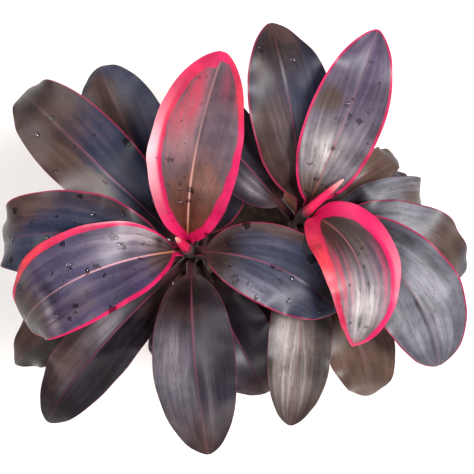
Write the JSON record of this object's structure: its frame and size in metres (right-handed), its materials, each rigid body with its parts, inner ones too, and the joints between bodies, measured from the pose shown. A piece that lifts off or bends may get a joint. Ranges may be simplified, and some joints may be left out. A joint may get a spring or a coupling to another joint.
{
  "type": "potted red ruby dracaena",
  "caption": "Broad-leaved foliage plant with plum-dark, pink-edged leaves in two crowns on woody canes, rooted in soil in a plain clay pot.",
  "frame": {"origin": "middle of the pot's flat underside", "axes": "+Z up, +X to the right and +Y up in a view from above with the left crown's side on the left"},
  "size_m": [0.4846, 0.4045, 0.4531],
  "materials": {
    "clay": "matt fired clay with pale bloom",
    "soil": "crumbly dark potting soil",
    "bark": "ringed matt bark",
    "leaf": "satin plum-black leaf with fine veins and a thin dull pink edge",
    "ruby_leaf": "satin bronze and plum leaf with a broad crimson edge",
    "pink_leaf": "satin grey and plum leaf with a very broad hot-pink edge",
    "new_leaf": "satin bright pink rolled leaf"
  },
  "bodies": {
    "root": {"pot": "clay", "soil": "soil", "left_cane": "bark", "right_cane": "bark", "left_spear": "new_leaf", "right_spear": "new_leaf", "left_leaf_01": "ruby_leaf", "left_leaf_02": "ruby_leaf", "left_leaf_03": "leaf", "left_leaf_04": "leaf", "left_leaf_05": "leaf", "left_leaf_06": "leaf", "left_leaf_07": "leaf", "left_leaf_08": "leaf", "left_leaf_09": "leaf", "left_leaf_10": "leaf", "left_leaf_11": "leaf", "left_leaf_12": "leaf", "left_leaf_13": "leaf", "right_leaf_01": "pink_leaf", "right_leaf_02": "leaf", "right_leaf_03": "leaf", "right_leaf_04": "leaf", "right_leaf_05": "leaf", "right_leaf_06": "leaf", "right_leaf_07": "leaf", "right_leaf_08": "leaf", "right_leaf_09": "leaf", "right_leaf_10": "leaf", "right_leaf_11": "leaf", "right_leaf_12": "leaf", "right_leaf_13": "leaf"}
  },
  "joints": []
}
